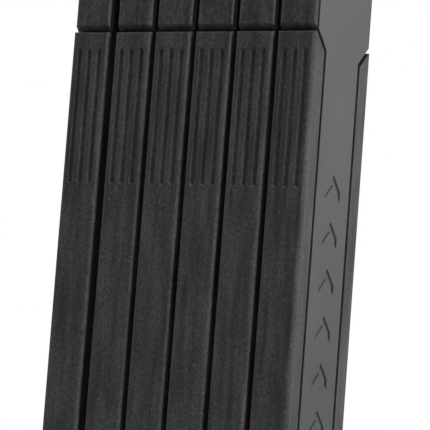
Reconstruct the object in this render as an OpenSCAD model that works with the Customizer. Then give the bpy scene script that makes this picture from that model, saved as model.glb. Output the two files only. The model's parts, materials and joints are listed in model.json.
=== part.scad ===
// Folding bike lock: six jacketed steel links, riveted into a zigzag that folds
// into a flat stack, on a keyed lock body. The last link ends in a stud that
// swings into a T-slot in the neck of the body, and a keyed bolt shuts it in.
// Millimetres, +Z up, origin on the floor under the middle of the base.

/* [Bars] */
// Distance between the two pivots of an inner bar
link_reach = 140; // [110:1:180]
// Width of a bar over its jacket
bar_w = 24.4; // [22:0.2:30]
// Thickness of a bar over its jacket
bar_t = 7.2; // [6.8:0.1:9]
// Depth of soft jacket over each edge of the steel link inside
edge_cover = 3.2; // [2.6:0.1:3.8]
// Thickness of the steel link inside
steel_t = 5; // [4:0.1:5.2]
// Free gap between neighbouring bars
bar_gap = 0.8; // [0.4:0.05:2]
// Extra gap between the first and second bars
first_gap_extra = 0.55; // [0:0.05:1]

/* [Jacket] */
// Distance from the pivot to the notch that ends the edge strip
notch_from_pivot = 20; // [16:0.5:26]
// Height of the V notch on the edge of the bar
notch_h = 1.9; // [1.2:0.05:2.4]
// Depth of the V notch
notch_depth = 1.9; // [1.2:0.1:2]
// Distance from the bar's edge to the middle of the seam on its broad face
seam_inset = 4.85; // [4.2:0.05:6]
// Width of the seam between the edge strip and the side plate
seam_w = 0.8; // [0.3:0.05:1]
// How far the slanted end of the seam drops below the notch
seam_drop = 2.5; // [1.5:0.1:4]
// Radius of the edge strip's outer corners
strip_r = 0.9; // [0.6:0.1:1.4]
// Width of the rim that the end bumper shows on the broad face
rim_w = 0.8; // [0.7:0.05:1.2]
// Radius of the end bumper's outer edges
rim_r = 0.65; // [0.3:0.05:0.65]
// How far the end bumpers lie inside the line of the edge strips
end_inset = 0.3; // [0:0.05:0.4]
// How far the end bumper lies below the side plates
rim_sink = 0.15; // [0.05:0.05:0.3]

/* [Grip grooves] */
// Grooves side by side on each end of an edge strip
groove_count = 3; // [1:1:3]
// Distance between groove centres
groove_pitch = 2; // [1.6:0.1:2.1]
// Diameter of the round cutter that leaves a groove
groove_w = 1; // [0.8:0.1:1.2]
// Depth of a groove
groove_depth = 0.45; // [0.2:0.05:0.6]
// Length of a groove
groove_len = 24.4; // [10:0.1:26]
// Distance from the end of the strip to the groove
groove_start = 2.6; // [2:0.1:6]

/* [Chevrons] */
// Chevrons sunk in a row into the outer plate of the last bar
chevron_count = 7; // [3:1:9]
// Distance from one chevron to the next
chevron_pitch = 8.2; // [6:0.1:10]
// Width of a chevron across the bar
chevron_w = 6; // [4:0.1:8]
// Height of a chevron's slanted arms
chevron_rise = 2.6; // [1:0.1:3]
// Width of a chevron's arms
chevron_stroke = 1.6; // [0.8:0.1:2.4]
// Depth of the chevrons
chevron_depth = 0.3; // [0.1:0.05:0.5]

/* [Rivets] */
// Diameter of a rivet's shank
rivet_d = 8; // [6:0.2:9]
// Diameter of a rivet's head
rivet_head_d = 14; // [12:0.2:16]
// Depth that a rivet's head lies below the face of the jacket
head_sink = 0.1; // [0.05:0.05:0.3]

/* [Lock body] */
// Height of the base
base_h = 28.8; // [26:0.2:40]
// Depth of the base, front to back
base_d = 26; // [25:0.2:34]
// Corner radius of the base
base_r = 5; // [3:0.5:7]
// Wall of the plastic covers
cover_wall = 2.2; // [1.6:0.1:2.6]
// Radius of the round top of the neck
neck_r = 11.5; // [11:0.1:14]
// How far a lower pivot turns before its bars meet the neck
fold_limit = 120; // [105:1:125]

/* [Lock cylinder] */
// Diameter of the turning cylinder
core_d = 12.8; // [12:0.2:14]
// Wall of the fixed sleeve around it
sleeve_wall = 2; // [1.5:0.1:2.5]
// Travel of the bolt
bolt_travel = 6.5; // [6:0.1:7]
// Diameter of the bolt
bolt_d = 4.4; // [4:0.1:4.6]
// Diameter of the head of the stud
stud_head_d = 10.4; // [9.6:0.2:10.6]
// Diameter of the neck of the stud
stud_neck_d = 7; // [6:0.2:7.6]
// Locking discs in the cylinder
disc_count = 8; // [5:1:9]

/* [Hidden] */
$fn = 64;
slip = 0.05;            // radial running clearance of a shank in its hole
mould = 0.05;           // clearance of a moulded piece around steel
loose = 0.3;            // clearance around heads and loose pieces
turn_clear = 0.35;      // clearance of the swinging bars at the neck
base_clear = 1;         // clearance of the round bar ends over the base
eps = 0.02;
hw = bar_w / 2;
steel_w = bar_w - 2 * edge_cover;
ht = bar_t / 2;
plate_t = (bar_t - steel_t) / 2;
fine_seam = 0.3;        // seam between end bumper and side plate
end_r = hw - end_inset;
cap_half = end_r - rim_w - fine_seam;
panel_half = hw - seam_inset - seam_w / 2;
strip_half = hw - seam_inset + seam_w / 2;
notch_half = hw - notch_depth;
lip_half = hw - 0.8;     // top of the strip's end, inside its outer edge
seam_slope = seam_drop / (seam_inset - notch_depth);
seam_shift = seam_w / 2 * sqrt(1 + seam_slope * seam_slope);
// Height of the slanted seam's middle over the end of the strip, at y from the bar's middle
function seam_rise(y) = (y - notch_half) * seam_slope;

// The stack along X: six bars, a little more room beside the first
pitch = bar_t + bar_gap;
stack_w = 5 * pitch + first_gap_extra;
function bar_x(i) = -stack_w / 2 + i * pitch + (i > 0 ? first_gap_extra : 0);

// Heights of the pivots
lock_z = base_h + base_clear + hw;
neck_drop = ceil((neck_r + hw + turn_clear) / sin(fold_limit));
low_z = lock_z + neck_drop;
high_z = low_z + link_reach;
function bar_low(i) = (i == 0 || i == 5) ? lock_z : low_z;
strip_top = high_z - notch_from_pivot;
strip_low = low_z + notch_from_pivot;
strip_mid = (strip_top + strip_low) / 2;
groove_z = [groove_start + groove_w / 2, groove_start + groove_len - groove_w / 2];

// Rivets and washers
rivet_r = rivet_d / 2;
head_r = rivet_head_d / 2;
head_t = plate_t - head_sink;
plate_hole_r = head_r + loose;

// Neck and T-slot
neck_x = bar_x(5) - ht - bar_gap;
keeper_lip = 3;
keeper_pocket = 4;
keeper_x = neck_x - keeper_lip - keeper_pocket;
stud_neck_r = stud_neck_d / 2;
stud_head_r = stud_head_d / 2;
slot_clear = 0.4;
pocket_clear = 0.3;
stud_end_gap = 0.3;

// Base, from the floor up
pad_t = 1.5;
pad_show = 0.8;
base_w = stack_w + bar_t + 0.4;
block_w = base_w - 2 * cover_wall - 2 * mould;
block_d = base_d - 2 * cover_wall - 2 * mould;
block_r = base_r - cover_wall;
cover_roof = 2;
foot_t = 3;
block_low = pad_t + foot_t;
block_top = base_h - cover_roof;
screw_x = block_w / 2 - 3.4;
screw_y = block_d / 2 - 3.4;
screw_r = 1.5;
screw_head_r = 2.75;
screw_head_t = 1.6;
screw_len = 9;

// Cylinder, cam and bolt: the key turns 90 degrees, 45 either side of the middle
core_r = core_d / 2;
sleeve_r = core_r + sleeve_wall;
core_low = pad_t + 0.4;
core_top = block_top - 1.6;
cam_t = 1.5;
cam_pin_r = 1.3;
key_turn = 90;
eccentric = bolt_travel / 2 / sin(key_turn / 2);
yoke_t = 3;
yoke_z = core_top + cam_t + 0.3;
yoke_half = 3;
yoke_slot = 2 * cam_pin_r + 0.5;
bolt_r = bolt_d / 2;
bolt_y = stud_head_r + pocket_clear + bolt_r;
bolt_tip = keeper_x - 0.2;
carrier_y = bolt_y - bolt_r + 0.2;
carrier_d = 2 * bolt_r - 0.2;
cavity_clear = 0.4;
disc_bore_r = core_r - 1.3;
disc_pitch = 2.1;
disc_t = 1.9;
disc_low = core_low + 1.8;
keyway = [6.4, 2.2];
sidebar_r = 0.9;
sidebar_x = core_r - sidebar_r;

// Keyhole cover: a flat lever that swings aside under the base plate
cover_x = 8.6;
cover_r = 3.8;
cover_arm_r = 2.4;
cover_turn = 45;
cover_t = 0.7;
cover_low = 0.7;
cover_pin_r = 1.2;
cover_reach = cover_x + cover_r + loose;

// Ball that springs out behind the carrier at both ends of the bolt's travel,
// drawn pushed in, as it is while the carrier passes
detent_r = 1.2;
detent_z = yoke_z + yoke_t + 4;
detent_bore_r = detent_r + 0.15;
spring_wire = 0.35;
spring_len = 5;
spring_turns = 5;
spring_y = carrier_y - 2 * detent_r - 0.15 - spring_len;
coil_r = detent_r - spring_wire / 2 - 0.1;
coil_sides = 8;
coil_steps = 12 * spring_turns;

// ---- helpers ----

// Extrudes a profile drawn in the plane of the bars (Y, Z) along X, centred
module slab(t) rotate([90, 0, 90]) linear_extrude(t, center = true) children();

// Extrudes a profile drawn in the front plane (X, Z) from depth y along +Y
module front_cut(y, t) translate([0, y + t, 0]) rotate([90, 0, 0]) linear_extrude(t) children();

// Cylinder along X from x0 to x1 at height z
module x_rod(r, x0, x1, z, y = 0) translate([x0, y, z]) rotate([0, 90, 0]) cylinder(r = r, h = x1 - x0);

module stadium(r, z0, z1) {
    for (z = [z0, z1]) translate([0, z]) circle(r);
    translate([-r, z0]) square([2 * r, z1 - z0]);
}

module rounded_rect(w, d, r) {
    for (x = [-1, 1], y = [-1, 1]) translate([x * (w / 2 - r), y * (d / 2 - r)]) circle(r);
    square([w - 2 * r, d], center = true);
    square([w, d - 2 * r], center = true);
}

// ---- bars ----

module link(i) color("#3b3d40") translate([bar_x(i), 0, 0]) slab(steel_t) difference() {
    stadium(steel_w / 2, bar_low(i), high_z);
    for (z = [bar_low(i), high_z]) translate([0, z]) circle(rivet_r + slip);
}

// What the notch, the seam and the strip take from one end, above or below its edge
module strip_bay() for (side = [0, 1]) mirror([side, 0]) polygon([
    [hw, notch_h],
    [notch_half, seam_shift],
    [panel_half, seam_rise(panel_half) + seam_shift],
    [panel_half, -(strip_top - strip_low) / 2],
    [hw, -(strip_top - strip_low) / 2]
]);

// Full-width plate less the bays that the edge strips wrap into
module plate_outline(i) difference() {
    stadium(cap_half, bar_low(i), high_z);
    translate([0, strip_top]) strip_bay();
    translate([0, strip_low]) mirror([0, 1]) strip_bay();
}

// Arrow that points up the bar, centred on its own middle
module chevron() translate([0, -(chevron_rise + chevron_stroke) / 2]) polygon([
    [-chevron_w / 2, 0],
    [0, chevron_rise],
    [chevron_w / 2, 0],
    [chevron_w / 2, chevron_stroke],
    [0, chevron_rise + chevron_stroke],
    [-chevron_w / 2, chevron_stroke]
]);

module chevron_row() for (n = [0:chevron_count - 1])
    translate([0, strip_mid + (n - (chevron_count - 1) / 2) * chevron_pitch]) chevron();

// Hard plate on one broad face: side -1 is left, 1 is right
module side_plate(i, side) color("#4a4b4d") difference() {
    translate([bar_x(i) + side * (steel_t + plate_t) / 2, 0, 0]) slab(plate_t) difference() {
        plate_outline(i);
        for (z = [bar_low(i), high_z]) translate([0, z]) circle(plate_hole_r);
    }
    if (i == 5 && side == 1) translate([bar_x(i) + ht, 0, 0]) slab(2 * chevron_depth) chevron_row();
}

// Cross-section of the front edge strip, a channel that hugs the steel link
module strip_section() difference() {
    union() {
        translate([-ht, strip_r - hw]) square([bar_t, hw - strip_half - strip_r]);
        translate([strip_r - ht, -hw]) square([bar_t - 2 * strip_r, strip_r + eps]);
        for (s = [-1, 1]) translate([s * (ht - strip_r), strip_r - hw]) circle(strip_r);
    }
    translate([-steel_t / 2 - mould, -steel_w / 2 - mould]) square([steel_t + 2 * mould, steel_w]);
}

// Side view of the front strip: its lip in the V notch, then the slanted seam
module strip_profile() polygon([
    [-hw - eps, strip_low],
    [-hw - eps, strip_top],
    [-lip_half, strip_top + seam_rise(lip_half) - seam_shift],
    [-strip_half, strip_top + seam_rise(strip_half) - seam_shift],
    [-strip_half, strip_low - seam_rise(strip_half) + seam_shift],
    [-lip_half, strip_low - seam_rise(lip_half) + seam_shift]
]);

// Round-bottomed grooves with round ends, side by side at both ends of the strip
module grooves() for (g = [0:groove_count - 1], end = [0, 1]) {
    z0 = end == 0 ? strip_top - groove_z[1] : strip_low + groove_z[0];
    z1 = z0 + groove_z[1] - groove_z[0];
    translate([(g - (groove_count - 1) / 2) * groove_pitch, -hw - groove_w / 2 + groove_depth, 0]) {
        translate([0, 0, z0]) cylinder(r = groove_w / 2, h = z1 - z0);
        for (z = [z0, z1]) translate([0, 0, z]) sphere(groove_w / 2);
    }
}

module edge_strip() difference() {
    intersection() {
        slab(bar_t) strip_profile();
        translate([0, 0, strip_low - notch_h])
            linear_extrude(strip_top - strip_low + 2 * notch_h) strip_section();
    }
    grooves();
}

module edge_strips(i) color("#2b2c2e") translate([bar_x(i), 0, 0]) {
    edge_strip();
    mirror([0, 1, 0]) edge_strip();
}

// Cross-section of the bumper: a core beside the link, a wider rim with round
// edges outside it. X is the distance from the bar's middle, Y lies across the bar.
module bumper_section() {
    half = ht - rim_sink;
    translate([steel_w / 2 + mould, -steel_t / 2]) square([end_r - rim_w - steel_w / 2, steel_t]);
    translate([end_r - rim_w, -half]) square([rim_w - rim_r, 2 * half]);
    translate([end_r - rim_r - eps, rim_r - half]) square([rim_r + eps, 2 * (half - rim_r)]);
    intersection() {
        for (side = [-1, 1]) translate([end_r - rim_r, side * (half - rim_r)]) circle(rim_r);
        translate([end_r - rim_w, -half]) square([rim_w, 2 * half]);
    }
}

// Soft bumper round one end: half a ring, and two legs down to the strips
module end_bumper(leg) difference() {
    union() {
        rotate([90, 0, 90]) rotate_extrude(angle = 180) bumper_section();
        for (side = [0, 1]) mirror([0, side, 0])
            translate([0, 0, -leg - seam_drop]) linear_extrude(leg + seam_drop) rotate(90) bumper_section();
    }
    translate([0, 0, -leg]) slab(bar_t + 1) strip_bay();
}

module end_bumpers(i) color("#2b2c2e") translate([bar_x(i), 0, 0]) {
    translate([0, 0, high_z]) end_bumper(high_z - strip_top);
    translate([0, 0, bar_low(i)]) mirror([0, 0, 1]) end_bumper(strip_low - bar_low(i));
}

// ---- rivets ----

// Flat head with a turned edge and a shallow centre mark, on the side dir of x
module rivet_head(x, z, dir, r, t) translate([x, 0, z]) rotate([0, dir * 90, 0]) difference() {
    union() {
        cylinder(r = r, h = t - 0.35);
        translate([0, 0, t - 0.35]) cylinder(r1 = r, r2 = r - 0.35, h = 0.35);
    }
    translate([0, 0, t - 0.3]) cylinder(r1 = 0.9, r2 = 1.2, h = 0.4);
}

// Rivet n joins bar n - 1 to bar n, at the top when n is odd
module link_rivet(n) color("#54565a") {
    z = n % 2 == 1 ? high_z : low_z;
    x0 = bar_x(n - 1) - steel_t / 2;
    x1 = bar_x(n) + steel_t / 2;
    x_rod(rivet_r, x0 - eps, x1 + eps, z);
    rivet_head(x0 - slip, z, -1, head_r, head_t - slip);
    rivet_head(x1 + slip, z, 1, head_r, head_t - slip);
    for (x = [x0 - slip - eps, x1]) x_rod(rivet_r, x, x + slip + eps, z);
}

module washer(x0, x1, z) difference() {
    x_rod(head_r, x0 + slip, x1 - slip, z);
    x_rod(rivet_r + 2 * slip, x0 - 1, x1 + 1, z);
}

module link_washer(n) color("#c9c7bd")
    washer(bar_x(n - 1) + steel_t / 2, bar_x(n) - steel_t / 2, n % 2 == 1 ? high_z : low_z);

module body_rivet() color("#54565a") {
    x0 = bar_x(0) - steel_t / 2;
    x1 = -keeper_x;
    x_rod(rivet_r, x0 - slip - eps, x1, lock_z);
    rivet_head(x0 - slip, lock_z, -1, head_r, head_t - slip);
    x_rod(rivet_r + 1, x1 - eps, x1 + 1.4, lock_z);
}

module body_washer() color("#c9c7bd") washer(bar_x(0) + steel_t / 2, -neck_x, lock_z);

// Stud of the last bar: riveted through the link, collar, neck and mushroom head
module locking_stud() color("#8e9196") {
    x0 = bar_x(5) - steel_t / 2;
    x1 = bar_x(5) + steel_t / 2;
    neck_end = neck_x - keeper_lip - stud_end_gap;
    head_end = keeper_x + stud_end_gap;
    x_rod(rivet_r, x0 - eps, x1 + slip + eps, lock_z);
    rivet_head(x1 + slip, lock_z, 1, head_r, head_t - slip);
    x_rod(head_r, neck_x + slip, x0 - slip, lock_z);
    x_rod(rivet_r, x0 - slip - eps, x0, lock_z);
    x_rod(stud_neck_r, neck_end - eps, neck_x + slip + eps, lock_z);
    x_rod(stud_head_r, head_end + 0.6, neck_end, lock_z);
    translate([head_end, 0, lock_z]) rotate([0, 90, 0])
        cylinder(r1 = stud_head_r - 0.6, r2 = stud_head_r, h = 0.6);
}

// ---- lock body ----

module neck_profile() {
    translate([0, lock_z]) circle(neck_r);
    translate([-neck_r, block_top - eps]) square([2 * neck_r, lock_z - block_top + eps]);
}

// Slot that lets a round stud of radius r out to the back, flared for the arc
// that the stud makes about the lower pivots
module stud_way(r) {
    out = neck_r + 1;
    rise = neck_drop - sqrt(pow(neck_drop - r, 2) - out * out);
    translate([0, lock_z]) circle(r);
    translate([0, lock_z]) polygon([[0, -r], [out, -r], [out, rise], [0, r]]);
}

module keeper_plate() color("#7c7f84") difference() {
    translate([(keeper_x + neck_x) / 2, 0, 0]) slab(neck_x - keeper_x) difference() {
        neck_profile();
        translate([-neck_r - 1, 0]) square([2 * neck_r + 2, block_top + mould]);
    }
    translate([neck_x, 0, 0]) slab(2 * (keeper_lip + keeper_pocket) + 1) stud_way(stud_neck_r + slot_clear);
    translate([keeper_x, 0, 0]) slab(2 * keeper_pocket) stud_way(stud_head_r + pocket_clear);
}

module bolt_cavity() {
    x0 = -bolt_travel / 2 - yoke_half - cavity_clear;
    x1 = bolt_travel / 2 + yoke_half + cavity_clear;
    y0 = -eccentric;
    y1 = bolt_y + bolt_r + cavity_clear - 0.1;
    translate([x0, y0, core_top - eps]) cube([x1 - x0, y1 - y0, yoke_z + yoke_t + cavity_clear - core_top]);
    translate([x0, carrier_y - cavity_clear, core_top])
        cube([x1 - x0, y1 - carrier_y + cavity_clear, lock_z + bolt_r + cavity_clear - core_top]);
    x_rod(bolt_r + 0.1, x1 - eps, keeper_x + 1, lock_z, bolt_y);
}

module housing() color("#26272a") difference() {
    union() {
        translate([0, 0, block_low]) linear_extrude(block_top - block_low) rounded_rect(block_w, block_d, block_r);
        translate([(keeper_x - neck_x) / 2 - mould / 2, 0, 0]) slab(keeper_x + neck_x - mould) neck_profile();
    }
    translate([0, 0, block_low - 1]) cylinder(r = sleeve_r + slip, h = core_top - block_low + 1);
    translate([0, 0, core_top - 2 * eps]) cylinder(r = core_r + loose, h = cam_t + loose + 2 * eps);
    bolt_cavity();
    x_rod(rivet_r + slip, -neck_x - 1, -keeper_x + 1, lock_z);
    x_rod(rivet_r + 1 + loose, -keeper_x - 0.1, -bolt_travel / 2 - yoke_half, lock_z);
    translate([0, spring_y, detent_z]) rotate([-90, 0, 0]) cylinder(r = detent_bore_r, h = carrier_y - spring_y);
    for (x = [-1, 1], y = [-1, 1]) translate([x * screw_x, y * screw_y, block_low - 1])
        cylinder(r = screw_r + slip, h = screw_len);
}

module covers() difference() {
    translate([0, 0, pad_show]) linear_extrude(base_h - pad_show) rounded_rect(base_w, base_d, base_r);
    translate([0, 0, pad_show - 1]) linear_extrude(block_top + mould - pad_show + 1)
        rounded_rect(block_w + 2 * mould, block_d + 2 * mould, block_r + mould);
    translate([-neck_x - loose / 2, -neck_r - loose / 2, block_top - 0.1])
        cube([2 * neck_x + loose, 2 * neck_r + loose, cover_roof + 1]);
}

module cover_half(side) color("#303133") intersection() {
    covers();
    translate([-base_w, side > 0 ? mould : -base_d, 0]) cube([2 * base_w, base_d - mould, base_h + 1]);
}

module base_plate() color("#6d7075") difference() {
    translate([0, 0, pad_t]) linear_extrude(foot_t - mould) rounded_rect(block_w, block_d, block_r);
    translate([0, 0, pad_t - 1]) cylinder(r = core_r + loose, h = foot_t + 2);
    translate([cover_x, 0, pad_t - 1]) cylinder(r = cover_pin_r, h = foot_t);
    for (x = [-1, 1], y = [-1, 1]) translate([x * screw_x, y * screw_y, pad_t - 1]) {
        cylinder(r = screw_r + loose, h = foot_t + 2);
        cylinder(r = screw_head_r + loose / 2, h = screw_head_t + 1 + loose / 2);
    }
}

module base_screws() color("#a5a8ad") for (x = [-1, 1], y = [-1, 1])
    translate([x * screw_x, y * screw_y, pad_t]) difference() {
        union() {
            cylinder(r = screw_head_r, h = screw_head_t);
            cylinder(r = screw_r, h = foot_t + screw_len - 2);
        }
        translate([0, 0, -eps]) cylinder(r = 1.15, h = 1 + eps, $fn = 6);
    }

module base_pad() color("#222325") difference() {
    linear_extrude(pad_t - mould) rounded_rect(block_w - 0.4, block_d - 0.4, block_r - 0.2);
    translate([cover_x, 0, -1]) linear_extrude(pad_t + 2) {
        circle(cover_arm_r + loose);
        for (a = [0, cover_turn]) rotate(-a) cover_outline(loose);
        intersection() {
            circle(cover_reach);
            polygon([
                [0, 0],
                [-2 * cover_reach, 0],
                [-2 * cover_reach * cos(cover_turn), 2 * cover_reach * sin(cover_turn)]
            ]);
        }
    }
}

module cylinder_sleeve() color("#b08d3c") difference() {
    translate([0, 0, block_low]) cylinder(r = sleeve_r, h = core_top - block_low - mould);
    translate([0, 0, block_low - 1]) cylinder(r = core_r + slip, h = core_top);
}

module cylinder_core() color("#c6a24b") difference() {
    translate([0, 0, core_low]) cylinder(r = core_r, h = core_top - core_low - mould);
    translate([0, 0, disc_low]) cylinder(r = disc_bore_r, h = core_top - disc_low);
    translate([0, 0, core_low]) cube([keyway[0], keyway[1], 8], center = true);
    translate([sidebar_x, 0, disc_low]) cylinder(r = sidebar_r + 0.1, h = core_top - disc_low);
}

module locking_discs() color("#d8c27a") for (n = [0:disc_count - 1])
    translate([0, 0, disc_low + 0.1 + n * disc_pitch]) difference() {
        cylinder(r = disc_bore_r - slip, h = disc_t);
        translate([0, 0, disc_t / 2]) cube([keyway[0], keyway[1] + 0.2, disc_t + 1], center = true);
        translate([sidebar_x, 0, -1]) cylinder(r = sidebar_r + 0.2, h = disc_t + 2);
    }

module sidebar() color("#9aa0a6")
    translate([sidebar_x, 0, disc_low + 0.2]) cylinder(r = sidebar_r, h = core_top - disc_low - 0.5);

module cam() color("#8a8d92") {
    translate([0, 0, core_top]) cylinder(r = core_r, h = cam_t);
    translate([-eccentric * sin(key_turn / 2), eccentric * cos(key_turn / 2), core_top + cam_t - eps])
        cylinder(r = cam_pin_r, h = yoke_t + 0.3);
}

module lock_bolt() color("#9a9da2") translate([-bolt_travel / 2, 0, 0]) difference() {
    union() {
        translate([-yoke_half, -0.6, yoke_z]) cube([2 * yoke_half, carrier_y + carrier_d + 0.6, yoke_t]);
        translate([-yoke_half, carrier_y, yoke_z + eps])
            cube([2 * yoke_half, carrier_d, lock_z - yoke_z + bolt_r - 0.4]);
        x_rod(bolt_r, -eps, bolt_tip + bolt_travel / 2, lock_z, bolt_y);
    }
    translate([0, eccentric * (1 + cos(key_turn / 2)) / 2, yoke_z - 1]) linear_extrude(yoke_t + 1.4)
        rotate(90) stadium_x(yoke_slot / 2, eccentric * (1 - cos(key_turn / 2)) / 2 + 0.4);
}

// Stadium along the profile's own X, half as long as `half` either side
module stadium_x(r, half) {
    for (s = [-1, 1]) translate([s * half, 0]) circle(r);
    square([2 * half, 2 * r], center = true);
}

module detent_ball() color("#b9bcc1")
    translate([0, carrier_y - detent_r - 0.05, detent_z]) sphere(detent_r);

// Ring s of the coil's wire: round sections that step along the coil as they turn
function coil_ring(s) = [
    for (k = [0:coil_sides - 1]) [
        s / coil_steps * (spring_len - spring_wire) + spring_wire / 2 * (1 + sin(360 * k / coil_sides)),
        (coil_r + spring_wire / 2 * cos(360 * k / coil_sides)) * cos(360 * s * spring_turns / coil_steps),
        (coil_r + spring_wire / 2 * cos(360 * k / coil_sides)) * sin(360 * s * spring_turns / coil_steps)
    ]
];

module detent_spring() color("#a9acb1") {
    points = [for (s = [0:coil_steps]) each coil_ring(s)];
    walls = [for (s = [0:coil_steps - 1], k = [0:coil_sides - 1]) [
        s * coil_sides + k,
        s * coil_sides + (k + 1) % coil_sides,
        (s + 1) * coil_sides + (k + 1) % coil_sides,
        (s + 1) * coil_sides + k
    ]];
    low_end = [for (k = [coil_sides - 1:-1:0]) k];
    high_end = [for (k = [0:coil_sides - 1]) coil_steps * coil_sides + k];
    translate([0, spring_y, detent_z]) rotate([0, 0, 90])
        polyhedron(points, concat(walls, [low_end, high_end]), convexity = 10);
}

// Outline of the keyhole cover around its pivot, grown by `more`
module cover_outline(more) {
    circle(cover_arm_r + more);
    translate([-cover_x, 0]) circle(cover_r + more);
    translate([-cover_x, -cover_arm_r - more + 0.4]) square([cover_x, 2 * (cover_arm_r + more) - 0.8]);
}

module keyhole_cover() color("#3a3b3e") translate([cover_x, 0, cover_low]) difference() {
    union() {
        linear_extrude(cover_t) cover_outline(0);
        translate([-cover_x, 0, -0.4]) linear_extrude(0.4 + eps) rotate(90) stadium_x(0.5, 1.6);
    }
    translate([0, 0, -1]) cylinder(r = cover_pin_r + slip, h = cover_t + 2);
}

module cover_pivot() color("#8a8d92") translate([cover_x, 0, 0]) {
    translate([0, 0, cover_low - 0.45]) cylinder(r = cover_pin_r + 0.8, h = 0.4);
    translate([0, 0, cover_low - 0.1]) cylinder(r = cover_pin_r, h = pad_t - cover_low + 1.5);
}

// ---- nodes ----

housing();
keeper_plate();
cover_half(-1);  // front_cover
cover_half(1);  // rear_cover
base_plate();
base_screws();
base_pad();
cylinder_sleeve();
cylinder_core();
locking_discs();
sidebar();
cam();
lock_bolt();
detent_ball();
detent_spring();
keyhole_cover();
cover_pivot();
body_rivet();
body_washer();
locking_stud();
for (i = [0:5]) {
    bar = str("bar_", i + 1);
    link(i);
    side_plate(i, -1);
    side_plate(i, 1);
    edge_strips(i);
    end_bumpers(i);
}
for (n = [1:5]) {
    link_rivet(n);
    link_washer(n);
}
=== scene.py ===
"""Looks of a folding bike lock, built round its CAD frame. Metres, +Z up."""
import json
import math

import bpy
from mathutils import Matrix, Vector

MM = 0.001

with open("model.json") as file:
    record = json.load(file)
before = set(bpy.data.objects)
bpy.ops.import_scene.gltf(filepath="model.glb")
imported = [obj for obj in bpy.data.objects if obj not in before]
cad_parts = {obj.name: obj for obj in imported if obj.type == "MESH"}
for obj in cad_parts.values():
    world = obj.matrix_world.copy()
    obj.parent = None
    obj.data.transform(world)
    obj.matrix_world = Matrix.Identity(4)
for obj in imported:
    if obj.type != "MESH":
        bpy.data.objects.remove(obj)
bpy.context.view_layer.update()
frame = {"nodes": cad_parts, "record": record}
nodes = frame["nodes"]


# ---- colour and nodes ----

# Most of a noise pattern lies between these two levels
LOW, HIGH = 0.3, 0.7


def srgb(hex_colour):
    """Linear RGBA of an sRGB hex colour such as "#1f2022"."""
    parts = [int(hex_colour[k:k + 2], 16) / 255 for k in (1, 3, 5)]
    return [c / 12.92 if c <= 0.04045 else ((c + 0.055) / 1.055) ** 2.4 for c in parts] + [1.0]


def connect(tree, node, sockets):
    """Sets a node's sockets. A socket takes a number, a colour, another node's output,
    or another node, which stands for its first output."""
    for name, value in sockets.items():
        if isinstance(value, bpy.types.Node):
            value = value.outputs[0]
        if isinstance(value, bpy.types.NodeSocket):
            tree.links.new(value, node.inputs[name])
        else:
            node.inputs[name].default_value = value


def add(tree, kind, sockets, stops=(), **settings):
    """Adds a shader node with its settings, its sockets and, for a colour ramp, two stops."""
    node = tree.nodes.new("ShaderNode" + kind)
    for name, value in settings.items():
        setattr(node, name, value)
    if stops:
        for element, (position, colour) in zip(node.color_ramp.elements, stops):
            element.position = position
            element.color = srgb(colour)
    connect(tree, node, sockets)
    return node


def start(name):
    """A new material, its node tree and the object coordinates that patterns are built on."""
    material = bpy.data.materials.new(name)
    material.use_nodes = True
    return material, material.node_tree, add(material.node_tree, "TexCoord", {}).outputs["Object"]


def finish(material, sockets):
    """Sets the sockets of the material's shader."""
    connect(material.node_tree, material.node_tree.nodes["Principled BSDF"], sockets)
    return material


def follow(tree, pattern, colours, roughness):
    """Colour and roughness that go with a pattern, each from its low end to its high end."""
    return {
        "Base Color": add(tree, "ValToRGB", {"Fac": pattern}, stops=list(zip((LOW, HIGH), colours))),
        "Roughness": add(tree, "MapRange", {
            "Value": pattern,
            "From Min": LOW,
            "From Max": HIGH,
            "To Min": roughness[0],
            "To Max": roughness[1],
        }),
    }


# ---- materials ----

def soft_touch_elastomer():
    """Thermoplastic elastomer moulded in a fine spark-eroded tool: matt, faintly dusty,
    with flow streaks along the bar and pale specks of lint that it holds on to."""
    material, tree, coords = start("soft_touch_elastomer")
    along = add(tree, "Mapping", {"Vector": coords, "Scale": (1, 1, 1 / 9)})
    streak = add(tree, "TexNoise", {"Vector": along, "Scale": 1 / (1.3 * MM), "Detail": 3.0})
    # The tool's texture is far finer: mottle and grain are drawn coarse enough to show
    drawn_out = add(tree, "Mapping", {"Vector": coords, "Scale": (1, 1, 1 / 1.3)})
    mottle = add(tree, "TexNoise", {"Vector": drawn_out, "Scale": 1 / (0.45 * MM), "Detail": 2.0})
    grain = add(tree, "TexNoise", {"Vector": coords, "Scale": 1 / (0.22 * MM), "Detail": 2.0})
    flow = add(tree, "Math", {0: streak, 1: mottle}, operation="MULTIPLY")
    base = add(tree, "ValToRGB", {"Fac": flow}, stops=((0.12, "#161718"), (0.42, "#404141")))
    # Only the highest peaks of this noise are specks of lint, a fraction of a millimetre wide
    speck = add(tree, "TexNoise", {"Vector": coords, "Scale": 1 / (0.36 * MM), "Detail": 1.0})
    lint = add(tree, "MapRange", {"Value": speck, "From Min": 0.70, "From Max": 0.76, "To Max": 0.6})
    dusted = add(tree, "Mix", {"Factor": lint, "A": base, "B": srgb("#77787a")}, data_type="RGBA")
    doubled = add(tree, "Mapping", {"Vector": coords, "Scale": (1, 1, 1 / 2)})
    cloud = add(tree, "TexNoise", {"Vector": doubled, "Scale": 1 / (9.0 * MM), "Detail": 3.0})
    streaks = add(tree, "Bump", {"Height": streak, "Distance": 0.05 * MM})
    return finish(material, {
        "Base Color": dusted.outputs["Result"],
        "Roughness": add(tree, "MapRange", {
            "Value": cloud,
            "From Min": LOW,
            "From Max": HIGH,
            "To Min": 0.52,
            "To Max": 0.68,
        }),
        "Normal": add(tree, "Bump", {"Height": grain, "Distance": 0.03 * MM, "Normal": streaks}),
        "IOR": 1.46,
    })


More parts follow.
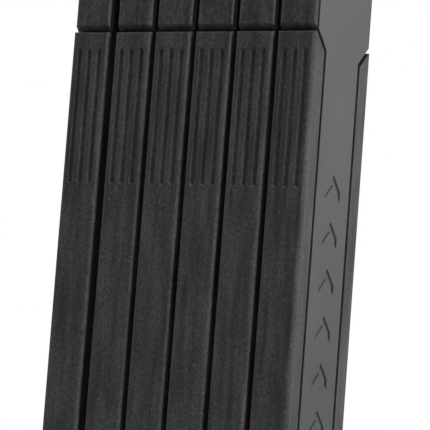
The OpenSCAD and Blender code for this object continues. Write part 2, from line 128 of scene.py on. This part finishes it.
def satin_abs():
    """ABS moulded satin: smoother than the elastomer, with faint flow lines along
    the bar, a fine even grain and a soft sheen that brightens at a low angle."""
    material, tree, coords = start("satin_abs")
    cloud = add(tree, "TexNoise", {"Vector": coords, "Scale": 1 / (14.0 * MM), "Detail": 3.0})
    along = add(tree, "Mapping", {"Vector": coords, "Scale": (1, 1, 1 / 5)})
    flow = add(tree, "TexNoise", {"Vector": along, "Scale": 1 / (0.5 * MM), "Detail": 3.0})
    both = add(tree, "Math", {0: cloud, 1: flow}, operation="MULTIPLY")
    # Real grain is some hundredths of a millimetre wide, too fine to show
    grain = add(tree, "TexNoise", {"Vector": coords, "Scale": 1 / (0.3 * MM), "Detail": 2.0})
    return finish(material, {
        "Base Color": add(tree, "ValToRGB", {"Fac": both}, stops=((0.12, "#1e1f20"), (0.42, "#303132"))),
        "Roughness": add(tree, "MapRange", {
            "Value": flow,
            "From Min": LOW,
            "From Max": HIGH,
            "To Min": 0.42,
            "To Max": 0.5,
        }),
        "Normal": add(tree, "Bump", {"Height": grain, "Distance": 0.008 * MM}),
        "IOR": 1.53,
    })


def textured_abs():
    """ABS moulded with a leather-like grain, as on a tool's housing: black and dull."""
    material, tree, coords = start("textured_abs")
    cells = add(tree, "TexVoronoi", {"Vector": coords, "Scale": 1 / (0.7 * MM)}, feature="SMOOTH_F1")
    cloud = add(tree, "TexNoise", {"Vector": coords, "Scale": 1 / (11.0 * MM), "Detail": 3.0})
    return finish(material, {
        **follow(tree, cloud, ("#202122", "#292a2b"), (0.5, 0.62)),
        "Normal": add(tree, "Bump", {"Height": cells, "Distance": 0.05 * MM}),
        "IOR": 1.53,
    })


def e_coated_steel():
    """Hardened steel link, electro-coated black: an even satin film over a ground face."""
    material, tree, coords = start("e_coated_steel")
    along = add(tree, "Mapping", {"Vector": coords, "Scale": (1, 1, 1 / 40)})
    ground = add(tree, "TexNoise", {"Vector": along, "Scale": 1 / (0.3 * MM), "Detail": 3.0})
    return finish(material, {
        **follow(tree, ground, ("#18191a", "#232426"), (0.3, 0.42)),
        "Normal": add(tree, "Bump", {"Height": ground, "Distance": 0.01 * MM}),
        "IOR": 1.55,
    })


def zinc_nickel_steel():
    """Rivet steel with a black zinc-nickel plate: dark metal, blotched where the plate is thin."""
    material, tree, coords = start("zinc_nickel_steel")
    blotch = add(tree, "TexNoise", {"Vector": coords, "Scale": 1 / (2.5 * MM), "Detail": 4.0})
    fine = add(tree, "TexNoise", {"Vector": coords, "Scale": 1 / (0.25 * MM), "Detail": 2.0})
    return finish(material, {
        **follow(tree, blotch, ("#4d4f52", "#74767a"), (0.3, 0.48)),
        "Normal": add(tree, "Bump", {"Height": fine, "Distance": 0.01 * MM}),
        "Metallic": 1.0,
    })


def ground_steel():
    """Hardened steel, ground bright: fine scratches along X and a cool grey."""
    material, tree, coords = start("ground_steel")
    sideways = add(tree, "Mapping", {"Vector": coords, "Scale": (1 / 30, 1, 1)})
    scratch = add(tree, "TexNoise", {"Vector": sideways, "Scale": 1 / (0.12 * MM), "Detail": 3.0})
    return finish(material, {
        **follow(tree, scratch, ("#9b9ea2", "#bfc2c5"), (0.2, 0.36)),
        "Normal": add(tree, "Bump", {"Height": scratch, "Distance": 0.006 * MM}),
        "Metallic": 1.0,
    })


def powder_coated_zinc():
    """Die-cast zinc under black powder coat: the orange-peel skin that the powder leaves."""
    material, tree, coords = start("powder_coated_zinc")
    peel = add(tree, "TexNoise", {"Vector": coords, "Scale": 1 / (0.9 * MM), "Detail": 1.0})
    cloud = add(tree, "TexNoise", {"Vector": coords, "Scale": 1 / (12.0 * MM), "Detail": 2.0})
    return finish(material, {
        **follow(tree, cloud, ("#1c1d1e", "#27282a"), (0.34, 0.45)),
        "Normal": add(tree, "Bump", {"Height": peel, "Distance": 0.04 * MM}),
        "IOR": 1.52,
    })


def machined_brass():
    """Free-cutting brass, turned and drawn: warm metal with faint tool rings."""
    material, tree, coords = start("machined_brass")
    layers = add(tree, "Mapping", {"Vector": coords, "Scale": (1 / 40, 1 / 40, 1)})
    rings = add(tree, "TexNoise", {"Vector": layers, "Scale": 1 / (0.2 * MM), "Detail": 2.0})
    tarnish = add(tree, "TexNoise", {"Vector": coords, "Scale": 1 / (3.0 * MM), "Detail": 3.0})
    return finish(material, {
        **follow(tree, tarnish, ("#a98648", "#cfad68"), (0.24, 0.4)),
        "Normal": add(tree, "Bump", {"Height": rings, "Distance": 0.006 * MM}),
        "Metallic": 1.0,
    })


def natural_acetal():
    """Acetal washer, undyed: a waxy off-white that lets a little light in."""
    material, tree, coords = start("natural_acetal")
    cloud = add(tree, "TexNoise", {"Vector": coords, "Scale": 1 / (2.0 * MM), "Detail": 2.0})
    return finish(material, {
        **follow(tree, cloud, ("#c9c6ba", "#d8d5ca"), (0.35, 0.45)),
        "Subsurface Weight": 0.15,
        "Subsurface Scale": 1.0 * MM,
        "IOR": 1.48,
    })


def moulded_nitrile():
    """Nitrile rubber foot: dead matt black with a little bloom."""
    material, tree, coords = start("moulded_nitrile")
    bloom = add(tree, "TexNoise", {"Vector": coords, "Scale": 1 / (3.0 * MM), "Detail": 4.0})
    grain = add(tree, "TexNoise", {"Vector": coords, "Scale": 1 / (0.3 * MM), "Detail": 2.0})
    return finish(material, {
        "Base Color": add(tree, "ValToRGB", {"Fac": bloom}, stops=((0.35, "#1a1a1b"), (0.75, "#2b2b2c"))),
        "Roughness": add(tree, "MapRange", {
            "Value": bloom,
            "From Min": LOW,
            "From Max": HIGH,
            "To Min": 0.7,
            "To Max": 0.85,
        }),
        "Normal": add(tree, "Bump", {"Height": grain, "Distance": 0.02 * MM}),
        "IOR": 1.52,
    })


FINISH = {
    "soft_edge": soft_touch_elastomer(),
    "hard_plate": satin_abs(),
    "cover_plastic": textured_abs(),
    "steel_link": e_coated_steel(),
    "rivet_steel": zinc_nickel_steel(),
    "bright_steel": ground_steel(),
    "cast_zinc": powder_coated_zinc(),
    "lock_brass": machined_brass(),
    "bearing_plastic": natural_acetal(),
    "foot_rubber": moulded_nitrile(),
}
SLOT_OF = {s["node"]: s["material_slot"] for s in frame["record"]["subparts"]}


# ---- CAD nodes: finish and softened edges ----

# Edge radius in millimetres that each finish's process leaves
EDGE_MM = {
    "soft_edge": 0.2,
    "hard_plate": 0.12,
    "cover_plastic": 0.5,
    "steel_link": 0.2,
    "rivet_steel": 0.1,
    "bright_steel": 0.15,
    "cast_zinc": 0.3,
    "lock_brass": 0.1,
    "bearing_plastic": 0.1,
    "foot_rubber": 0.2,
}
# Round all over, so they have no edges to soften
ROUND_PIECES = ("detent_ball", "detent_spring")
# Corners nearer than this are one corner
SAME_CORNER_MM = 0.002
# Faces that meet at less than this count as one flat face
FLAT_ANGLE = math.radians(0.5)
# Faces that meet at more than this have an edge between them
EDGE_ANGLE = math.radians(28)


def soften(piece, radius_mm):
    """Joins a CAD mesh's loose triangles, clears flat faces of them and rounds the edges."""
    weld = piece.modifiers.new("join", "WELD")
    weld.merge_threshold = SAME_CORNER_MM * MM
    flat = piece.modifiers.new("flats", "DECIMATE")
    flat.decimate_type = "DISSOLVE"
    flat.angle_limit = FLAT_ANGLE
    edge = piece.modifiers.new("edges", "BEVEL")
    edge.width = radius_mm * MM
    edge.segments = 2
    edge.limit_method = "ANGLE"
    edge.angle_limit = EDGE_ANGLE
    piece.modifiers.new("normals", "WEIGHTED_NORMAL").keep_sharp = True


for name, piece in nodes.items():
    slot = SLOT_OF[name]
    piece.data.materials.clear()
    piece.data.materials.append(FINISH[slot])
    if name not in ROUND_PIECES:
        soften(piece, EDGE_MM[slot])


# ---- scene ----

def studio_paper():
    """Seamless studio paper: a matt, faintly fibrous sheet, off-white."""
    material, tree, coords = start("studio_paper")
    fibre = add(tree, "TexNoise", {"Vector": coords, "Scale": 1 / (40.0 * MM), "Detail": 4.0})
    return finish(material, {
        "Base Color": add(tree, "ValToRGB", {"Fac": fibre}, stops=((LOW, "#eeeeed"), (HIGH, "#f4f4f3"))),
        "Roughness": 0.9,
        "IOR": 1.45,
    })


bpy.ops.object.select_all(action="DESELECT")
bpy.ops.mesh.primitive_plane_add(size=8.0, location=(0, 0, 0))
floor = bpy.context.object
floor.name = "studio_floor"
floor.data.materials.append(studio_paper())

# The camera sees a white backdrop, while the lock gets only a little even light from it
BACKDROP, EVEN_LIGHT = 1.0, 0.05
world = bpy.data.worlds.new("studio")
world.use_nodes = True
bpy.context.scene.world = world
studio = world.node_tree
camera_ray = add(studio, "LightPath", {}).outputs["Is Camera Ray"]
level = add(studio, "MapRange", {"Value": camera_ray, "To Min": EVEN_LIGHT, "To Max": BACKDROP})
connect(studio, studio.nodes["Background"], {"Color": (1, 1, 1, 1), "Strength": level})

# What the lights are aimed at: the middle of the folded bars
BARS_MIDDLE = Vector((0, 0, 0.12))


def softbox(name, place, width, height, watts):
    """A rectangular soft light at place, turned towards the bars."""
    light = bpy.data.lights.new(name, "AREA")
    light.shape = "RECTANGLE"
    light.size = width
    light.size_y = height
    light.energy = watts
    lamp = bpy.data.objects.new(name, light)
    bpy.context.scene.collection.objects.link(lamp)
    lamp.location = place
    lamp.rotation_euler = (BARS_MIDDLE - Vector(place)).to_track_quat("-Z", "Y").to_euler()


# The right rear box lights the last bar's broad side at a low angle. The right one draws
# light lines on the bars' rounded edges, and the top and left ones fill the fronts.
softbox("right_softbox", (1.40, -0.42, 0.75), 0.35, 1.0, 16.5)
softbox("right_rear_softbox", (1.0, 1.1, 0.6), 0.8, 1.0, 9)
softbox("top_softbox", (0.1, -0.28, 1.5), 0.4, 0.4, 11)
softbox("left_softbox", (-1.40, -0.36, 0.7), 0.35, 1.0, 4.5)

# Camera: low and to the right, close on the upper third of the stack, turned a little
YAW, PITCH, ROLL = (math.radians(a) for a in (26.88, 5.49, 4.36))
CAMERA_PLACE = Vector((207.2, -406.4, 115.5)) * MM
camera = bpy.data.cameras.new("camera")
camera.sensor_width = 36
camera.lens = 214.9
camera.clip_start = 0.01
camera.clip_end = 50
eye = bpy.data.objects.new("camera", camera)
bpy.context.scene.collection.objects.link(eye)
ahead = Vector((-math.sin(YAW) * math.cos(PITCH), math.cos(YAW) * math.cos(PITCH), math.sin(PITCH)))
across = Vector((math.cos(YAW), math.sin(YAW), 0))
upward = across.cross(ahead)
image_x = math.cos(ROLL) * across + math.sin(ROLL) * upward
image_y = math.cos(ROLL) * upward - math.sin(ROLL) * across
turn = Matrix((image_x, image_y, -ahead)).transposed().to_4x4()
eye.matrix_world = Matrix.Translation(CAMERA_PLACE) @ turn
bpy.context.scene.camera = eye
bpy.context.scene.view_settings.view_transform = "Standard"
